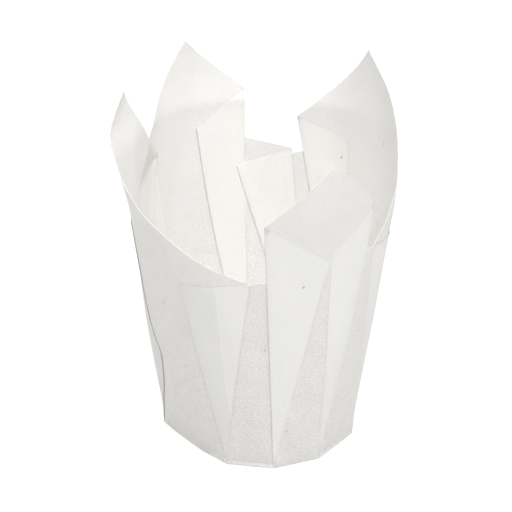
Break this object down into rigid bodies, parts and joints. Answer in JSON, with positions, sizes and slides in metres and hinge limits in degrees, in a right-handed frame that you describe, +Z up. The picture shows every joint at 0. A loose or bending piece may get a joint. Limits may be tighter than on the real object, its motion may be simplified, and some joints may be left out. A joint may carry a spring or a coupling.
{
  "type": "tulip baking cup",
  "caption": "Tall paper baking cup pressed from one square sheet, with pleated leaning walls and four pointed corner petals.",
  "frame": {"origin": "middle of the flat base, on its underside", "axes": "+Z up out of the open mouth; -Y towards the side seen from the front, where the lowest petal stands"},
  "size_m": [0.0723, 0.0861, 0.0984],
  "materials": {
    "greaseproof_paper": "matt white greaseproof baking paper, slightly translucent"
  },
  "bodies": {
    "root": {"folded_sheet": "greaseproof_paper"}
  },
  "joints": []
}
